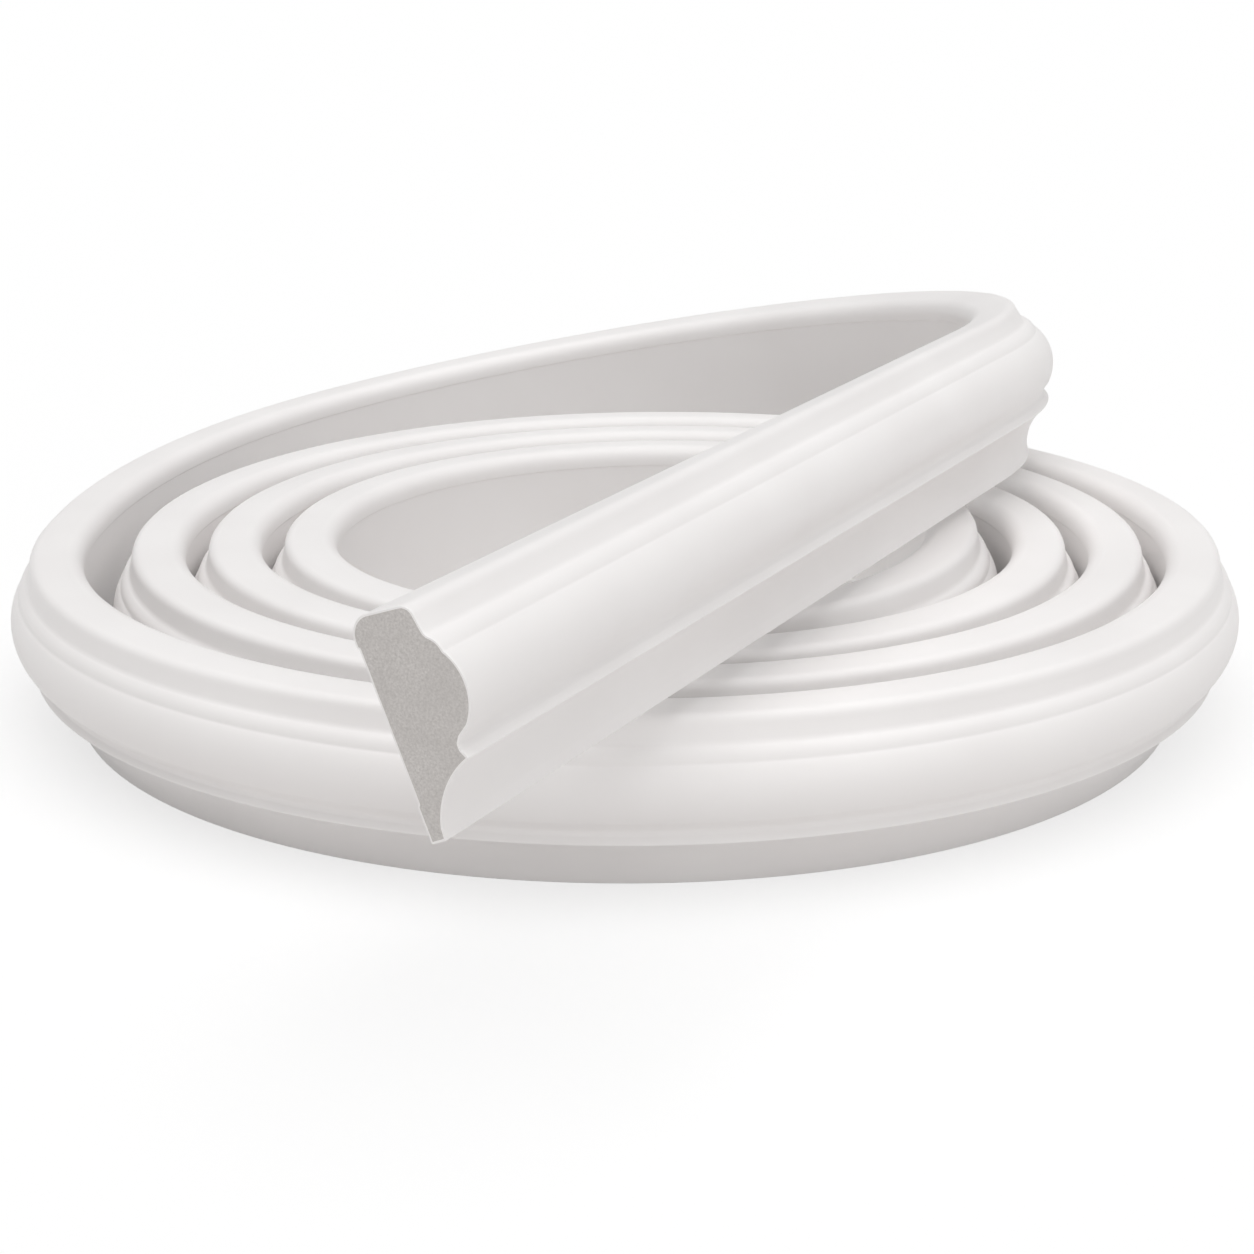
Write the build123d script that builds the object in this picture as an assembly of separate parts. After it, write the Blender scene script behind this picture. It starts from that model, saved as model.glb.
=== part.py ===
from build123d import *
import os
from math import asin, cos, degrees, radians, sin

# Flexible arch moulding: one length of cast moulding, wound up on edge.
# The thin lip stands on the floor, the bead is on top, the flat back faces the eye of the coil.
# All sizes are in millimetres and degrees.

# Section: x runs from the flat back to the face, y from the lip up to the bead.
# A setback is measured back from the crown of the torus, a drop down from the top of the bead.
width = 57.0
thickness = 25.4
lip_thickness = 4.2
lip_height = 3.0
lip_draft = 0.3
cove_radius = 22.0
arris_height = 17.4
arris_setback = 6.8
arris_round = 0.6
quirk_height = 20.5
quirk_setback = 8.1
torus_foot_height = 24.8
torus_foot_setback = 3.9
torus_crown_drop = 22.5
torus_top_drop = 14.4
torus_top_setback = 2.4
step_depth = 0.5
crease_drop = 9.1
crease_setback = 6.2
shoulder_radius = 5.8
bead_setback = 7.1
bead_back_radius = 5.5
bead_face_radius = 3.4
bead_dome = 0.6
relief_depth = 0.5
relief_bottom = 9.5
relief_drop = 7.0

# Flat turns: the outer turn's radius is measured to the back of the section.
outer_turn_radius = 187.5
right_gap = 0.7
left_gap = 0.7
outer_left_gap = 9.0
flat_turns = 4

# Inner end: it lies in a plane hinged on the floor at the front left, and springs up at the right.
inner_hinge_angle = 40.0
inner_lift = 5.0
inner_tuck = 1.2
inner_end_angle = 25.0

# Outer end: it eases outwards on the floor, then climbs in a tilted plane, turns back and runs straight.
ease_slack = 190.0
ease_angle = 28.5
climb_tuck = 28.5
climb_turn = 177.7
end_lift = 6.2
run_length = 408.0

right_pitch = thickness + right_gap
left_pitch = thickness + left_gap
outer_left_pitch = thickness + outer_left_gap
ease_radius = outer_turn_radius + ease_slack
climb_radius = outer_turn_radius - climb_tuck
climb_tilt = degrees(asin((width + end_lift) / (2 * climb_radius)))


def right_crossing(turn):
    """Distance from the middle to the back of a turn at the right, the outer turn being 0."""
    return outer_turn_radius - turn * right_pitch


def left_crossing(turn):
    """Distance from the middle to the back of a turn at the left, the outer turn being 0."""
    if turn == 0:
        return outer_turn_radius
    return outer_turn_radius - outer_left_pitch - (turn - 1) * left_pitch


def front_radius(turn):
    """Radius of the half turn round the front, from the right crossing to the left one."""
    return (right_crossing(turn) + left_crossing(turn)) / 2


def back_radius(turn):
    """Radius of the half turn round the back, from the left crossing to the next turn's right one."""
    return (left_crossing(turn) + right_crossing(turn - 1)) / 2


def moulding_profile():
    """The section as a flat face: lip, cove, arris, quirk, torus, step, shoulder, bead and relieved back."""
    cove_foot = (lip_thickness + lip_draft, lip_height)
    arris = (thickness - arris_setback, arris_height)
    quirk = (thickness - quirk_setback, quirk_height)
    torus_foot = (thickness - torus_foot_setback, torus_foot_height)
    torus_crown = (thickness, width - torus_crown_drop)
    torus_top = (thickness - torus_top_setback, width - torus_top_drop)
    step = (torus_top[0] - step_depth, torus_top[1] + step_depth)
    crease = (thickness - crease_setback, width - crease_drop)
    bead_depth = thickness - bead_setback
    bead_face = (bead_depth, width - bead_dome - bead_face_radius)
    bead_edge = (bead_depth - bead_face_radius, width - bead_dome)
    bead_crown = (bead_back_radius, width)
    bead_back = (0, width - bead_back_radius)
    relief_top = width - relief_drop
    with BuildSketch() as sketch:
        with BuildLine():
            Line((0, 0), (lip_thickness, 0))
            Line((lip_thickness, 0), cove_foot)
            RadiusArc(cove_foot, arris, cove_radius)
            Line(arris, quirk)
            Line(quirk, torus_foot)
            ThreePointArc(torus_foot, torus_crown, torus_top)
            Line(torus_top, step)
            RadiusArc(step, crease, -shoulder_radius)
            Line(crease, bead_face)
            RadiusArc(bead_face, bead_edge, -bead_face_radius)
            Line(bead_edge, bead_crown)
            RadiusArc(bead_crown, bead_back, -bead_back_radius)
            Line(bead_back, (0, relief_top))
            Line((0, relief_top), (relief_depth, relief_top - relief_depth))
            Line((relief_depth, relief_top - relief_depth), (relief_depth, relief_bottom + relief_depth))
            Line((relief_depth, relief_bottom + relief_depth), (0, relief_bottom))
            Line((0, relief_bottom), (0, 0))
        make_face()
        arris_corner = sketch.vertices().sort_by_distance(arris)[0]
        fillet(arris_corner, arris_round)
    return sketch.face()


profile = moulding_profile()


def bend(start, radius, turn, tilt=0.0):
    """Skin of the section bent round from the plane start; a negative turn goes back along the strip.

    A tilt leans the plane of the bend, so that its far side rises. Returns the skin and its end plane.
    """
    lean = radians(tilt)
    outwards = start.x_dir * cos(lean) - start.y_dir * sin(lean)
    upwards = start.y_dir * cos(lean) + start.x_dir * sin(lean)
    centre = start.origin - outwards * radius
    axis = Axis(centre, -upwards if turn > 0 else upwards)
    skin = Shell.revolve((start * profile).outer_wire(), abs(turn), axis)
    end = Plane(
        origin=centre + (start.origin - centre).rotate(axis, abs(turn)),
        x_dir=start.x_dir.rotate(axis, abs(turn)),
        z_dir=start.z_dir.rotate(axis, abs(turn)),
    )
    return skin, end


def lifted_inner_end(hinge):
    """The inner end, followed back from the left crossing of the innermost turn to its cut."""
    last = flat_turns - 1
    radius = front_radius(last) - inner_tuck
    lift_angle = degrees(asin(inner_lift / (2 * radius)))
    foot, plane = bend(hinge, front_radius(last), -inner_hinge_angle)
    rise, plane = bend(plane, radius, inner_hinge_angle - 180 - inner_end_angle, lift_angle)
    return [foot, rise], plane


def flat_outer_turns(start):
    """The flat turns from the left crossing of the last one out to the left crossing of the outer one."""
    skins = []
    plane = start
    for turn in range(flat_turns - 1, 0, -1):
        back, plane = bend(plane, back_radius(turn), 180)
        front, plane = bend(plane, front_radius(turn - 1), 180)
        skins += [back, front]
    return skins, plane


def free_outer_end(start):
    """The outer end: eased off the coil, climbing round the back, then straight across the top."""
    ease, plane = bend(start, ease_radius, ease_angle)
    climb, plane = bend(plane, climb_radius, climb_turn, climb_tilt)
    run = Shell.extrude((plane * profile).outer_wire(), plane.z_dir * run_length)
    return [ease, climb, run], plane.offset(run_length)


last_left_crossing = Plane(
    origin=(-left_crossing(flat_turns - 1), 0, 0), x_dir=(-1, 0, 0), z_dir=(0, 1, 0)
)
inner_skins, inner_cut = lifted_inner_end(last_left_crossing)
flat_skins, outer_left_crossing = flat_outer_turns(last_left_crossing)
outer_skins, outer_cut = free_outer_end(outer_left_crossing)

# The skins of all the bends and the run, closed by the two square cuts, enclose one solid.
skin_faces = [face for skin in inner_skins + flat_skins + outer_skins for face in skin.faces()]
moulding = Solid(Shell(skin_faces + [inner_cut * profile, outer_cut * profile]))

box = moulding.bounding_box()
moulding = Pos(-box.center().X, -box.center().Y, -box.min.Z) * moulding

os.makedirs("parts", exist_ok=True)
export_step(moulding, "parts/arch_moulding.step")
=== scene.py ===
from math import asin, ceil, cos, degrees, hypot, pi, radians, sin, sqrt

import bpy
from mathutils import Matrix, Vector


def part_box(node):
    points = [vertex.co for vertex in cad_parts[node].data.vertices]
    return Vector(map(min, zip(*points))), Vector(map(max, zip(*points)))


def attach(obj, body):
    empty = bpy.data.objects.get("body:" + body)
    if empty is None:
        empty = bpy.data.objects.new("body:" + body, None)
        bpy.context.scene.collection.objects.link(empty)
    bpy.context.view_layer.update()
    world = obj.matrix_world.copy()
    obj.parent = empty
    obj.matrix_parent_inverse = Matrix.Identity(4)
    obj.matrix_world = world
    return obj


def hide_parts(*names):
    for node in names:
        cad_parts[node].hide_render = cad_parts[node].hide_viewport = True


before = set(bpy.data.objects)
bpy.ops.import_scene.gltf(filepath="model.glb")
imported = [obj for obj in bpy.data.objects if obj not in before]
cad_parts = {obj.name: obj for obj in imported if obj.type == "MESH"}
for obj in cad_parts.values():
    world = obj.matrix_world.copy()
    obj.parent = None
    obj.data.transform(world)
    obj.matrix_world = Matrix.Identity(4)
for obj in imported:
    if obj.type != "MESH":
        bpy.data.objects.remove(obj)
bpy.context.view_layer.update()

# A length of flexible arch moulding, wound up on edge, seen on a pale studio floor.
# Sizes are millimetres and degrees, as on a drawing; MM turns a size into Blender's metres.
MM = 0.001

# Section: x runs from the flat back to the face, y from the lip up to the bead.
# A setback is measured back from the crown of the torus, a drop down from the top of the bead.
width = 57.0
thickness = 25.4
lip_thickness = 4.2
lip_height = 3.0
lip_draft = 0.3
cove_radius = 22.0
arris_height = 17.4
arris_setback = 6.8
quirk_height = 20.5
quirk_setback = 8.1
torus_foot_height = 24.8
torus_foot_setback = 3.9
torus_crown_drop = 22.5
torus_top_drop = 14.4
torus_top_setback = 2.4
step_depth = 0.5
crease_drop = 9.1
crease_setback = 6.2
shoulder_radius = 5.8
bead_setback = 7.1
bead_back_radius = 5.5
bead_face_radius = 3.4
bead_dome = 0.6
relief_depth = 0.5
relief_bottom = 9.5
relief_drop = 7.0
arc_step_length = 1.2
corner_segments = 3
lip_softening = 0.35
arris_softening = 0.6
quirk_softening = 0.35
quirk_flat = 1.6
torus_lap = (3.0, 1.9)
step_softening = 0.4
crease_softening = 1.1
relief_softening = 0.2

# Coil: the outer turn's radius is measured to the back of the section.
outer_turn_radius = 187.5
right_gap = 0.7
left_gap = 0.7
outer_left_gap = 9.0
flat_turns = 4
inner_hinge_angle = 40.0
inner_lift = 5.0
inner_tuck = 1.2
inner_end_angle = 25.0
ease_slack = 190.0
ease_angle = 28.5
climb_tuck = 28.5
climb_turn = 177.7
end_lift = 6.2
run_length = 408.0
sweep_step_angle = 2.0
run_steps = 40
smooth_angle = 28.0
same_place = 0.01

# Cut ends: the saw leaves a slightly broken edge and a pale rim round the raw resin, partly the white skin
# and partly a painted highlight on the broken edge.
# The edge draws in towards a middle given as shares of the thickness and the width.
cut_edge_round = 0.25
skin_and_highlight_rim = 0.45
rim_merge = 0.15
section_middle = (0.4, 0.58)
end_reach = 1.5 * hypot(width, thickness)

# Photograph: the camera looks down on the coil through a medium long lens.
photo_side = 1254
camera_focal_pixels = 2732.5
camera_elevation = 17.06
camera_distance = 1039.7
camera_aim = (0.71, 63.3)
sensor_width = 36.0

# Light: a white card that lies on the floor has a brightness of about 1 in all.
# A lamp's angles are its elevation, its turn to the right of the front and its spread.
room_level = 0.44
overhead_level = 0.54
overhead_angles = (84, 15, 70)
front_level = 0.22
front_angles = (6, 18, 60)

# Floor: this share of its white is there without light, so that the shadow on it is faint.
floor_glow = 0.65
floor_side = 30000.0

# Grain of the materials: how far apart the features are, and how deep.
skin_cloud_size = 45.0
skin_peel_size = 1.5
skin_peel_depth = 0.03
resin_grain_size = 0.6
resin_grain_depth = 0.1
resin_cloud_size = 9.0


def select_only(piece):
    """Make a piece the one selected and active object."""
    bpy.ops.object.select_all(action="DESELECT")
    piece.select_set(True)
    bpy.context.view_layer.objects.active = piece


def right_crossing(turn):
    """Distance from the middle to the back of a turn at the right, the outer turn being 0."""
    return outer_turn_radius - turn * (thickness + right_gap)


def left_crossing(turn):
    """Distance from the middle to the back of a turn at the left, the outer turn being 0."""
    if turn == 0:
        return outer_turn_radius
    return outer_turn_radius - (thickness + outer_left_gap) - (turn - 1) * (thickness + left_gap)


def front_radius(turn):
    """Radius of the half turn round the front."""
    return (right_crossing(turn) + left_crossing(turn)) / 2


def back_radius(turn):
    """Radius of the half turn round the back, out to the next turn."""
    return (left_crossing(turn) + right_crossing(turn - 1)) / 2


class Station:
    """A place along the strip: the lip's back corner with its outward, upward and forward ways."""

    def __init__(self, point, outward, upward, forward):
        self.point = point
        self.outward = outward
        self.upward = upward
        self.forward = forward

    def bend(self, radius, turn, tilt=0.0):
        """Centre and axis of a bend from here, and the station at its end."""
        lean = radians(tilt)
        axis = self.upward * cos(lean) + self.outward * sin(lean)
        centre = self.point - (self.outward * cos(lean) - self.upward * sin(lean)) * radius
        round_axis = Matrix.Rotation(-radians(turn), 3, axis)
        end = Station(
            centre + round_axis @ (self.point - centre),
            round_axis @ self.outward,
            round_axis @ self.upward,
            round_axis @ self.forward,
        )
        return (centre, axis, turn), end


def strip_route():
    """The station of the inner end and every bend from there to the straight run."""
    last = flat_turns - 1
    start = Station(
        Vector((-left_crossing(last), 0, 0)), Vector((-1, 0, 0)), Vector((0, 0, 1)), Vector((0, 1, 0))
    )
    inner_radius = front_radius(last) - inner_tuck
    inner_tilt = degrees(asin(inner_lift / (2 * inner_radius)))
    inwards = [
        (front_radius(last), inner_hinge_angle, 0.0),
        (inner_radius, 180 - inner_hinge_angle + inner_end_angle, inner_tilt),
    ]
    inner_end = start
    bends = []
    for radius, turn, tilt in inwards:
        (centre, axis, _), inner_end = inner_end.bend(radius, -turn, tilt)
        bends.insert(0, (centre, axis, turn))
    outwards = []
    for turn in range(last, 0, -1):
        outwards += [(back_radius(turn), 180.0, 0.0), (front_radius(turn - 1), 180.0, 0.0)]
    climb_radius = outer_turn_radius - climb_tuck
    climb_tilt = degrees(asin((width + end_lift) / (2 * climb_radius)))
    outwards += [(outer_turn_radius + ease_slack, ease_angle, 0.0), (climb_radius, climb_turn, climb_tilt)]
    place = start
    for radius, turn, tilt in outwards:
        bend, place = place.bend(radius, turn, tilt)
        bends.append(bend)
    return inner_end, bends, place


def draw_line(tip, to):
    """Extrude the selected vertex of the outline to a point; returns the new tip."""
    move = (Vector(to) - Vector(tip)).to_3d() * MM
    bpy.ops.mesh.extrude_vertices_move(TRANSFORM_OT_translate={"value": move})
    return to


def draw_arc(tip, to, centre):
    """Spin the outline's selected vertex round a centre to a point, the short way; returns the new tip."""
    spoke = Vector(tip) - Vector(centre)
    turn = spoke.angle_signed(Vector(to) - Vector(centre))
    steps = max(3, ceil(abs(turn) * spoke.length / arc_step_length))
    bpy.ops.mesh.spin(
        steps=steps,
        angle=turn,
        center=Vector(centre).to_3d() * MM,
        axis=(0, 0, 1),
        use_auto_merge=False,
    )
    return to


def centre_of_arc(a, b, radius):
    """Centre of an arc from a to b, on the left of the way for a positive radius."""
    a, b = Vector(a), Vector(b)
    along = b - a
    left = Vector((-along.y, along.x)).normalized()
    rise = sqrt(radius**2 - (along.length / 2) ** 2)
    return (a + b) / 2 + left * rise * (1 if radius > 0 else -1)


def centre_of_circle(a, b, c):
    """Centre of the circle through three points."""
    ab = Vector(b) - Vector(a)
    ac = Vector(c) - Vector(a)
    twice_area = 2 * (ab.x * ac.y - ab.y * ac.x)
    return Vector(a) + Vector(
        (
            ac.y * ab.length_squared - ab.y * ac.length_squared,
            ab.x * ac.length_squared - ac.x * ab.length_squared,
        )
    ) / twice_area


def select_vertices(strip, belongs):
    """Select the vertices whose place, in millimetres, passes a test; starts and ends in edit mode."""
    bpy.ops.mesh.select_mode(type="VERT")
    bpy.ops.mesh.select_all(action="DESELECT")
    bpy.ops.object.mode_set(mode="OBJECT")
    for vertex in strip.data.vertices:
        vertex.select = belongs(vertex.co / MM)
    bpy.ops.object.mode_set(mode="EDIT")


def soften_corners(strip, corners, offset):
    """Round corners of the outline by bevelling their vertices."""
    places = [Vector(corner).to_3d() for corner in corners]
    select_vertices(
        strip, lambda place: any((place - corner).length < same_place for corner in places)
    )
    bpy.ops.mesh.bevel(offset=offset * MM, segments=corner_segments, affect="VERTICES")


def draw_profile():
    """Draw the section's outline: lip, cove, arris, quirk, torus, step, shoulder, bead and back."""
    bpy.ops.mesh.primitive_plane_add(size=MM)
    strip = bpy.context.object
    bpy.ops.object.mode_set(mode="EDIT")
    bpy.ops.mesh.select_all(action="SELECT")
    bpy.ops.mesh.merge(type="CENTER")
    bpy.ops.mesh.select_mode(type="VERT")
    cove_foot = (lip_thickness + lip_draft, lip_height)
    arris = (thickness - arris_setback, arris_height)
    quirk = (thickness - quirk_setback, quirk_height - quirk_flat / 2)
    quirk_top = (thickness - quirk_setback, quirk_height + quirk_flat / 2)
    torus_foot = (thickness - torus_foot_setback, torus_foot_height)
    torus_underside = (torus_foot[0] - torus_lap[0], torus_foot[1] - torus_lap[1])
    torus_crown = (thickness, width - torus_crown_drop)
    torus_top = (thickness - torus_top_setback, width - torus_top_drop)
    step = (torus_top[0] - step_depth, torus_top[1] + step_depth)
    crease = (thickness - crease_setback, width - crease_drop)
    bead_depth = thickness - bead_setback
    bead_face = (bead_depth, width - bead_dome - bead_face_radius)
    bead_edge = (bead_depth - bead_face_radius, width - bead_dome)
    bead_crown = (bead_back_radius, width)
    bead_back = (0.0, width - bead_back_radius)
    relief_top = width - relief_drop
    tip = draw_line((0.0, 0.0), (lip_thickness, 0.0))
    tip = draw_line(tip, cove_foot)
    tip = draw_arc(tip, arris, centre_of_arc(cove_foot, arris, -cove_radius))
    tip = draw_line(tip, quirk)
    tip = draw_line(tip, quirk_top)
    tip = draw_line(tip, torus_underside)
    tip = draw_line(tip, torus_foot)
    tip = draw_arc(tip, torus_top, centre_of_circle(torus_foot, torus_crown, torus_top))
    tip = draw_line(tip, step)
    tip = draw_arc(tip, crease, centre_of_arc(step, crease, shoulder_radius))
    tip = draw_line(tip, bead_face)
    tip = draw_arc(tip, bead_edge, centre_of_arc(bead_face, bead_edge, bead_face_radius))
    tip = draw_line(tip, bead_crown)
    tip = draw_arc(tip, bead_back, centre_of_arc(bead_crown, bead_back, bead_back_radius))
    tip = draw_line(tip, (0.0, relief_top))
    tip = draw_line(tip, (relief_depth, relief_top - relief_depth))
    tip = draw_line(tip, (relief_depth, relief_bottom + relief_depth))
    tip = draw_line(tip, (0.0, relief_bottom))
    draw_line(tip, (0.0, 0.0))
    bpy.ops.mesh.select_all(action="SELECT")
    bpy.ops.mesh.remove_doubles(threshold=same_place * MM)
    soften_corners(strip, [(0.0, 0.0), (lip_thickness, 0.0)], lip_softening)
    soften_corners(strip, [arris], arris_softening)
    soften_corners(strip, [quirk, quirk_top], quirk_softening)
    soften_corners(strip, [step], step_softening)
    soften_corners(strip, [crease], crease_softening)
    relief_corners = [
        (0.0, relief_top),
        (relief_depth, relief_top - relief_depth),
        (relief_depth, relief_bottom + relief_depth),
        (0.0, relief_bottom),
    ]
    soften_corners(strip, relief_corners, relief_softening)
    bpy.ops.object.mode_set(mode="OBJECT")
    return strip


def finish_cut(strip, station, way):
    """Break a cut end's edge, close it with raw resin and leave a pale rim, partly skin and partly painted
    highlight on the broken edge; way points off the end.
    """
    select_vertices(
        strip,
        lambda place: abs((place - station.point).dot(way)) < same_place
        and (place - station.point).length < end_reach,
    )
    bpy.ops.mesh.extrude_edges_move(TRANSFORM_OT_translate={"value": way * cut_edge_round * MM})
    middle = (
        station.point
        + station.outward * thickness * section_middle[0]
        + station.upward * width * section_middle[1]
    )
    scale = 1 - cut_edge_round / (width / 2)
    bpy.ops.transform.resize(
        value=(scale, scale, scale), center_override=(middle + way * cut_edge_round) * MM
    )
    bpy.ops.mesh.edge_face_add()
    bpy.ops.mesh.select_mode(type="FACE")
    # The inset leaves a rim in the skin's white round the resin: partly the real skin, partly a painted
    # highlight on the broken edge.
    bpy.ops.mesh.inset(thickness=skin_and_highlight_rim * MM, depth=0.0)
    strip.active_material_index = 1
    bpy.ops.object.material_slot_assign()
    bpy.ops.mesh.remove_doubles(threshold=rim_merge * MM)


def make_strip(skin, raw_resin):
    """Sweep the section round every bend and along the run, then close both cut ends."""
    inner_end, bends, run_start = strip_route()
    strip = draw_profile()
    strip.name = "moulding_strip"
    strip.data.materials.append(skin)
    strip.data.materials.append(raw_resin)
    place = Matrix((inner_end.outward, inner_end.upward, inner_end.forward)).transposed().to_4x4()
    place.translation = inner_end.point * MM
    strip.matrix_world = place
    select_only(strip)
    bpy.ops.object.transform_apply(location=True, rotation=True, scale=True)
    bpy.ops.object.mode_set(mode="EDIT")
    bpy.ops.mesh.select_mode(type="VERT")
    bpy.ops.mesh.select_all(action="SELECT")
    for centre, axis, turn in bends:
        bpy.ops.mesh.spin(
            steps=ceil(turn / sweep_step_angle),
            angle=radians(turn),
            center=centre * MM,
            axis=axis,
            use_auto_merge=False,
        )
    straight_length = run_length - cut_edge_round
    for _ in range(run_steps):
        bpy.ops.mesh.extrude_edges_move(
            TRANSFORM_OT_translate={"value": run_start.forward * (straight_length / run_steps * MM)}
        )
    run_end = Station(
        run_start.point + run_start.forward * straight_length,
        run_start.outward,
        run_start.upward,
        run_start.forward,
    )
    finish_cut(strip, inner_end, -inner_end.forward)
    finish_cut(strip, run_end, run_end.forward)
    bpy.ops.mesh.select_all(action="SELECT")
    bpy.ops.mesh.normals_make_consistent(inside=False)
    bpy.ops.object.mode_set(mode="OBJECT")
    bpy.ops.object.shade_smooth_by_angle(angle=radians(smooth_angle))
    return strip


def stand_on_frame(strip):
    """Move the strip from the coil's middle to the frame's place for it, and apply the move."""
    low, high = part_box("arch_moulding")
    corners = [Vector(corner) for corner in strip.bound_box]
    own_low = Vector([min(corner[i] for corner in corners) for i in range(3)])
    own_high = Vector([max(corner[i] for corner in corners) for i in range(3)])
    strip.location = (Vector(low) + Vector(high) - own_low - own_high) / 2
    select_only(strip)
    move = strip.location.copy()
    bpy.ops.object.transform_apply(location=True, rotation=False, scale=False)
    return move


def linear(hex_code):
    """Linear colour of an sRGB hex value."""
    channels = [int(hex_code[i : i + 2], 16) / 255 for i in (1, 3, 5)]
    return [c / 12.92 if c <= 0.04045 else ((c + 0.055) / 1.055) ** 2.4 for c in channels] + [1.0]


def add_node(tree, kind, settings=None, links=None, **properties):
    """Add a node with its properties, socket settings and incoming links."""
    node = tree.nodes.new(kind)
    for name, value in properties.items():
        setattr(node, name, value)
    for name, value in (settings or {}).items():
        node.inputs[name].default_value = value
    for name, socket in (links or {}).items():
        tree.links.new(socket, node.inputs[name])
    return node


def new_material(name):
    """An empty node material; returns it, its tree and its surface output socket."""
    material = bpy.data.materials.new(name)
    material.use_nodes = True
    tree = material.node_tree
    tree.nodes.clear()
    output = add_node(tree, "ShaderNodeOutputMaterial")
    return material, tree, output.inputs["Surface"]


def per_metre(size_mm):
    """Texture scale that gives features of a size."""
    return 1 / (size_mm * MM)


def moulded_white_polyurethane():
    """White flexible polyurethane, as it comes out of a smooth mould.

    A satin skin: broad soft highlights, faint clouding, and a hardly seen orange peel.
    """
    material, tree, surface = new_material("moulded_white_polyurethane")
    place = add_node(tree, "ShaderNodeTexCoord")
    clouds = add_node(
        tree,
        "ShaderNodeTexNoise",
        {"Scale": per_metre(skin_cloud_size), "Detail": 2.0, "Roughness": 0.5},
        {"Vector": place.outputs["Object"]},
    )
    peel = add_node(
        tree,
        "ShaderNodeTexNoise",
        {"Scale": per_metre(skin_peel_size), "Detail": 2.0, "Roughness": 0.6},
        {"Vector": place.outputs["Object"]},
    )
    tint = add_node(
        tree,
        "ShaderNodeMix",
        {"A": linear("#F1EEED"), "B": linear("#F7F5F4")},
        {"Factor": clouds.outputs["Fac"]},
        data_type="RGBA",
    )
    gloss = add_node(
        tree,
        "ShaderNodeMapRange",
        {"From Min": 0.3, "From Max": 0.7, "To Min": 0.42, "To Max": 0.52},
        {"Value": clouds.outputs["Fac"]},
    )
    bump = add_node(
        tree,
        "ShaderNodeBump",
        {"Strength": 0.25, "Distance": skin_peel_depth * MM},
        {"Height": peel.outputs["Fac"]},
    )
    shader = add_node(
        tree,
        "ShaderNodeBsdfPrincipled",
        {"IOR": 1.5},
        {
            "Base Color": tint.outputs["Result"],
            "Roughness": gloss.outputs["Result"],
            "Normal": bump.outputs["Normal"],
        },
    )
    tree.links.new(shader.outputs["BSDF"], surface)
    return material


def sawn_grey_resin():
    """The raw resin inside the strip, where a fine saw has cut it square.

    Dry and matt, warm grey, with a fine grain and faint clouding.
    """
    material, tree, surface = new_material("sawn_grey_resin")
    place = add_node(tree, "ShaderNodeTexCoord")
    grain = add_node(
        tree,
        "ShaderNodeTexNoise",
        {"Scale": per_metre(resin_grain_size), "Detail": 3.0, "Roughness": 0.6},
        {"Vector": place.outputs["Object"]},
    )
    clouds = add_node(
        tree,
        "ShaderNodeTexNoise",
        {"Scale": per_metre(resin_cloud_size), "Detail": 2.0, "Roughness": 0.5},
        {"Vector": place.outputs["Object"]},
    )
    speckle = add_node(
        tree,
        "ShaderNodeMix",
        {"A": linear("#A8A3A0"), "B": linear("#EBE8E5")},
        {"Factor": grain.outputs["Fac"]},
        data_type="RGBA",
    )
    shade = add_node(
        tree,
        "ShaderNodeMapRange",
        {"From Min": 0.3, "From Max": 0.7, "To Min": 0.0, "To Max": 0.35},
        {"Value": clouds.outputs["Fac"]},
    )
    stone = add_node(
        tree,
        "ShaderNodeMix",
        {"B": linear("#BFBBB8")},
        {"Factor": shade.outputs["Result"], "A": speckle.outputs["Result"]},
        data_type="RGBA",
    )
    bump = add_node(
        tree,
        "ShaderNodeBump",
        {"Strength": 0.4, "Distance": resin_grain_depth * MM},
        {"Height": grain.outputs["Fac"]},
    )
    shader = add_node(
        tree,
        "ShaderNodeBsdfPrincipled",
        {"IOR": 1.5, "Roughness": 0.9},
        {"Base Color": stone.outputs["Result"], "Normal": bump.outputs["Normal"]},
    )
    tree.links.new(shader.outputs["BSDF"], surface)
    return material


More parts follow.
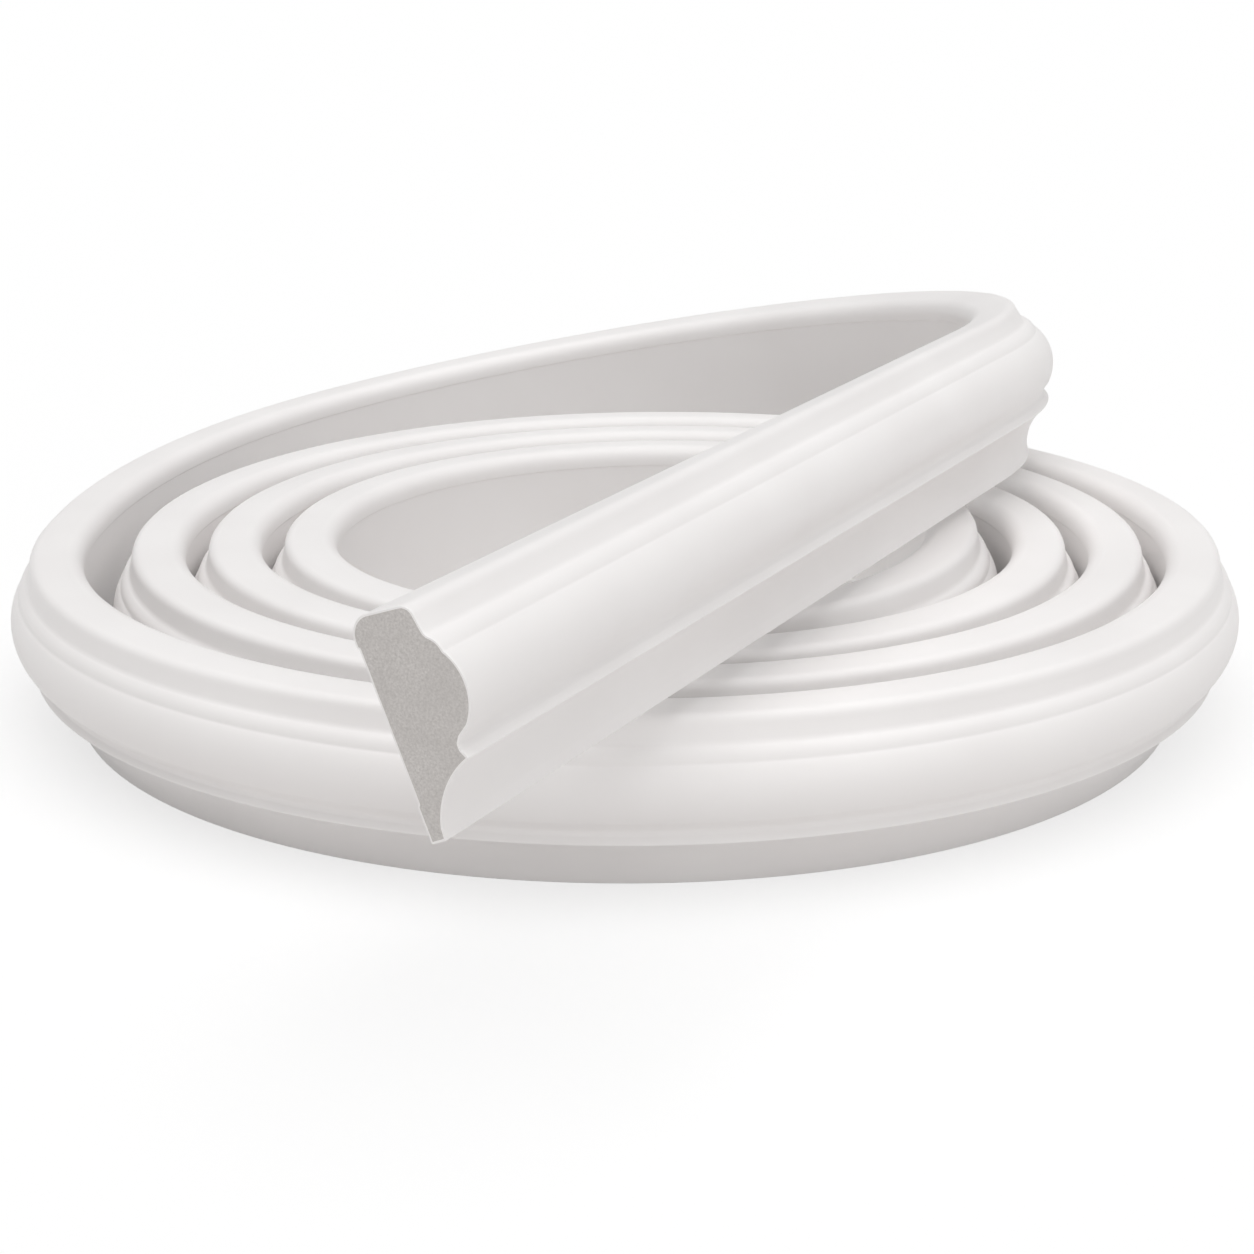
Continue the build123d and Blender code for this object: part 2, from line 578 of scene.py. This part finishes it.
def studio_floor():
    """A plain floor, larger than the view.

    It is white to the eye, with a faint shadow, and paper grey in the light that it throws back.
    """
    material, tree, surface = new_material("pale_studio_floor")
    ray = add_node(tree, "ShaderNodeLightPath")
    mirrored = add_node(
        tree,
        "ShaderNodeMath",
        links={0: ray.outputs["Is Glossy Ray"], 1: ray.outputs["Is Transmission Ray"]},
        operation="MAXIMUM",
    )
    seen = add_node(
        tree,
        "ShaderNodeMath",
        links={0: ray.outputs["Is Camera Ray"], 1: mirrored.outputs["Value"]},
        operation="MAXIMUM",
    )
    paper = add_node(
        tree,
        "ShaderNodeMix",
        {"A": linear("#E0DEDD"), "B": linear("#FDFDFD")},
        {"Factor": seen.outputs["Value"]},
        data_type="RGBA",
    )
    lit = add_node(tree, "ShaderNodeBsdfDiffuse", links={"Color": paper.outputs["Result"]})
    glow = add_node(tree, "ShaderNodeEmission", {"Color": (1, 1, 1, 1), "Strength": 1.0})
    glow_share = add_node(
        tree, "ShaderNodeMath", {1: floor_glow}, {0: seen.outputs["Value"]}, operation="MULTIPLY"
    )
    shader = add_node(
        tree,
        "ShaderNodeMixShader",
        links={0: glow_share.outputs["Value"], 1: lit.outputs["BSDF"], 2: glow.outputs["Emission"]},
    )
    tree.links.new(shader.outputs["Shader"], surface)
    bpy.ops.object.select_all(action="DESELECT")
    bpy.ops.mesh.primitive_plane_add(size=floor_side * MM, location=(0, 0, 0))
    floor = bpy.context.object
    floor.name = "studio_floor"
    floor.data.materials.append(material)


def add_lamp(name, angles, level):
    """Add a broad far lamp; its level is the brightness of a white card that faces it."""
    elevation, azimuth, spread = angles
    bpy.ops.object.light_add(type="SUN", rotation=(radians(90 - elevation), 0, radians(azimuth)))
    lamp = bpy.context.object
    lamp.name = name
    lamp.data.angle = radians(spread)
    lamp.data.energy = level * pi


def studio_light():
    """An even white room, a broad lamp overhead and a weaker one low in front, at a plain level."""
    scene = bpy.context.scene
    scene.view_settings.view_transform = "Standard"
    world = bpy.data.worlds.new("white_room")
    scene.world = world
    world.use_nodes = True
    tree = world.node_tree
    tree.nodes.clear()
    room = add_node(tree, "ShaderNodeBackground", {"Color": (1, 1, 1, 1), "Strength": room_level})
    output = add_node(tree, "ShaderNodeOutputWorld")
    tree.links.new(room.outputs["Background"], output.inputs["Surface"])
    add_lamp("overhead_softbox", overhead_angles, overhead_level)
    add_lamp("front_softbox", front_angles, front_level)


def photo_camera(move):
    """The photograph's camera: its height, distance and lens, aimed a little behind the coil's middle."""
    elevation = radians(camera_elevation)
    aim = Vector((camera_aim[0], camera_aim[1], 0)) * MM + move
    away = Vector((0, -cos(elevation), sin(elevation))) * camera_distance * MM
    bpy.ops.object.camera_add(location=aim + away, rotation=(radians(90) - elevation, 0, 0))
    camera = bpy.context.object
    camera.name = "photo_camera"
    camera.data.sensor_width = sensor_width
    camera.data.lens = camera_focal_pixels / photo_side * sensor_width
    camera.data.clip_end = 100
    bpy.context.scene.camera = camera


bpy.ops.object.select_all(action="DESELECT")
moulding_strip = make_strip(moulded_white_polyurethane(), sawn_grey_resin())
to_frame = stand_on_frame(moulding_strip)
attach(moulding_strip, "root")
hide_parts("arch_moulding")
studio_floor()
studio_light()
photo_camera(to_frame)
